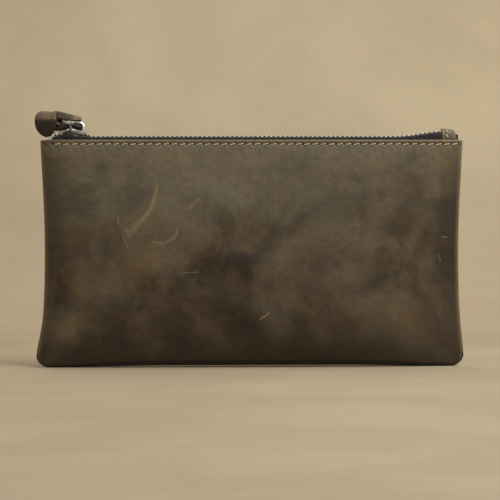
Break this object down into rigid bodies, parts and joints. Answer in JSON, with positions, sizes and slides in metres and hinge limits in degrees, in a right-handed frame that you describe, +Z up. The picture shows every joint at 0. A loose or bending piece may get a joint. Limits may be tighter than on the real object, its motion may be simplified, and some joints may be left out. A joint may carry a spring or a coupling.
{
  "type": "zippered pouch",
  "caption": "Slim rectangular zippered pouch in waxed brown leather, with a metal zip along its top, a leather zip pull on a wire link, and a leather tab over the zip's blind end.",
  "frame": {"origin": "middle of the bottom edge, on the surface the pouch stands on", "axes": "+X along the zip towards its blind end, -Y out of the front panel, +Z up"},
  "size_m": [0.2091, 0.02, 0.1239],
  "materials": {
    "leather": "waxed, worn and scratched",
    "lining_fabric": "plain weave",
    "zip_tape": "fine twill",
    "zip_metal": "polished nickel",
    "thread": "waxed thread"
  },
  "bodies": {
    "back_half": {"back_panel": "leather", "back_lining": "lining_fabric", "back_zip_tape": "zip_tape", "back_teeth_row": "zip_metal", "back_top_stop": "zip_metal", "back_topstitch": "thread", "bottom_stop": "zip_metal", "zip_end_tab": "leather", "tab_stitching": "thread", "seam_thread": "thread"},
    "front_half": {"front_panel": "leather", "front_lining": "lining_fabric", "front_zip_tape": "zip_tape", "front_teeth_row": "zip_metal", "front_top_stop": "zip_metal", "front_topstitch": "thread"},
    "slider": {"slider_body": "zip_metal", "slider_crown": "zip_metal"},
    "pull_link": {"pull_link": "zip_metal"},
    "leather_pull": {"leather_pull": "leather"}
  },
  "joints": [
    {"name": "zip_slide", "type": "slide", "parent": "back_half", "child": "slider", "axis": [1, 0, 0], "range_m": [0, 0.1687], "deforming": ["back_zip_tape", "back_teeth_row"]},
    {"name": "mouth_open", "type": "hinge", "parent": "back_half", "child": "front_half", "pos_m": [0, 0, 0], "axis": [1, 0, 0], "range_deg": [0, 14], "stiffness_Nm_per_rad": 0.2, "deforming": ["front_zip_tape", "front_teeth_row"]},
    {"name": "link_swing", "type": "hinge", "parent": "slider", "child": "pull_link", "pos_m": [-0.0829, 0, 0.1161], "axis": [0, 1, 0], "range_deg": [0, 90]},
    {"name": "pull_swing", "type": "hinge", "parent": "pull_link", "child": "leather_pull", "pos_m": [-0.09189, 0, 0.11885], "axis": [0, 1, 0], "range_deg": [-3, 5]}
  ],
  "couplings": [
    {"joint": "mouth_open", "follows": "zip_slide", "rad_per_m": 1.4477}
  ]
}
